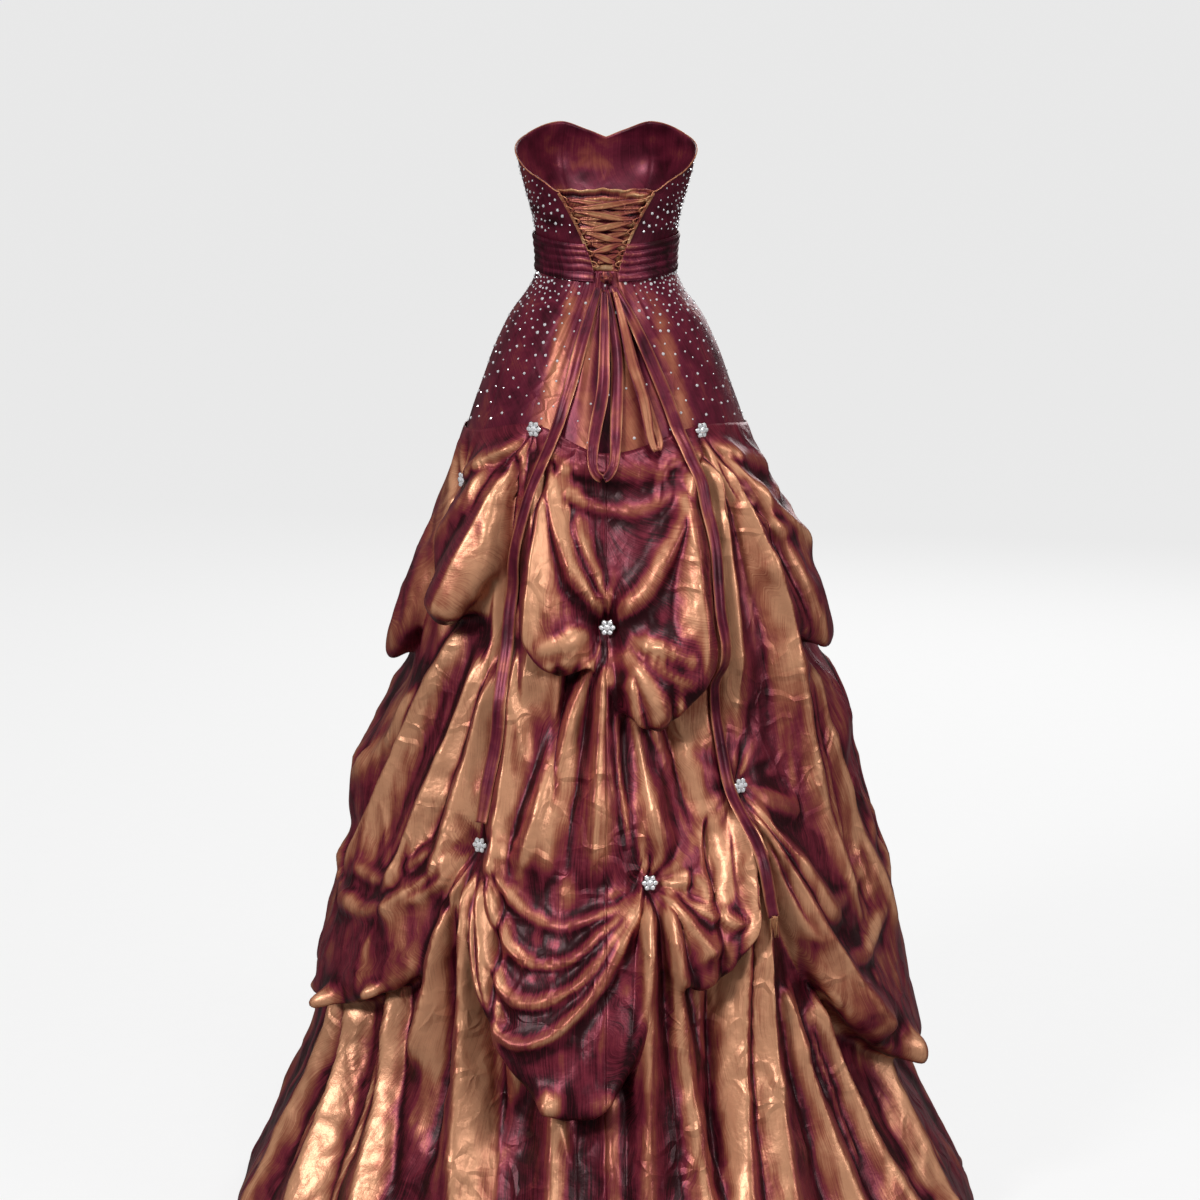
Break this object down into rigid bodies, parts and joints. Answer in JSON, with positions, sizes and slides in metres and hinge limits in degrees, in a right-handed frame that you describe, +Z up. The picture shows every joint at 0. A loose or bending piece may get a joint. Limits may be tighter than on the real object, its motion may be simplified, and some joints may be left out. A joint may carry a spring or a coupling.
{
  "type": "strapless pick-up ball gown with lace-up back",
  "caption": "Strapless floor-length ball gown: fitted bodice laced at the back over a modesty panel, pleated waistband, hip yoke, and a full skirt picked up into swags by brooches.",
  "frame": {"origin": "centre of the wearer's waist, where the gown is held", "axes": "+Z up, -Y the wearer's front, +Y the back with the lacing, +X the wearer's left"},
  "size_m": [1.0248, 0.9866, 1.468],
  "materials": {
    "shot_taffeta": "satin",
    "beaded_taffeta": "satin",
    "dark_taffeta": "satin",
    "gold_side_taffeta": "satin",
    "crystal_brooch": "polished"
  },
  "bodies": {
    "root": {"bodice_back_left": "beaded_taffeta", "bodice_back_right": "beaded_taffeta", "bodice_front": "beaded_taffeta", "bow_loop_centre": "beaded_taffeta", "bow_loop_right": "beaded_taffeta", "brooch_lower_back_centre": "crystal_brooch", "brooch_lower_back_left": "crystal_brooch", "brooch_lower_back_right": "crystal_brooch", "brooch_lower_front_left": "crystal_brooch", "brooch_lower_front_right": "crystal_brooch", "brooch_middle_back": "crystal_brooch", "brooch_middle_front": "crystal_brooch", "brooch_upper_back_left": "crystal_brooch", "brooch_upper_back_right": "crystal_brooch", "brooch_upper_front_left": "crystal_brooch", "brooch_upper_front_right": "crystal_brooch", "brooch_upper_side_left": "crystal_brooch", "brooch_upper_side_right": "crystal_brooch", "lace_over": "gold_side_taffeta", "lace_under": "gold_side_taffeta", "loop_tape_left": "gold_side_taffeta", "loop_tape_right": "gold_side_taffeta", "modesty_panel": "gold_side_taffeta", "skirt_back_left": "shot_taffeta", "skirt_back_right": "shot_taffeta", "skirt_front_left": "shot_taffeta", "skirt_front_right": "shot_taffeta", "tie_knot": "gold_side_taffeta", "tie_tail_left": "beaded_taffeta", "tie_tail_right": "beaded_taffeta", "waistband": "dark_taffeta", "yoke_back": "beaded_taffeta", "yoke_front": "beaded_taffeta"}
  },
  "joints": []
}
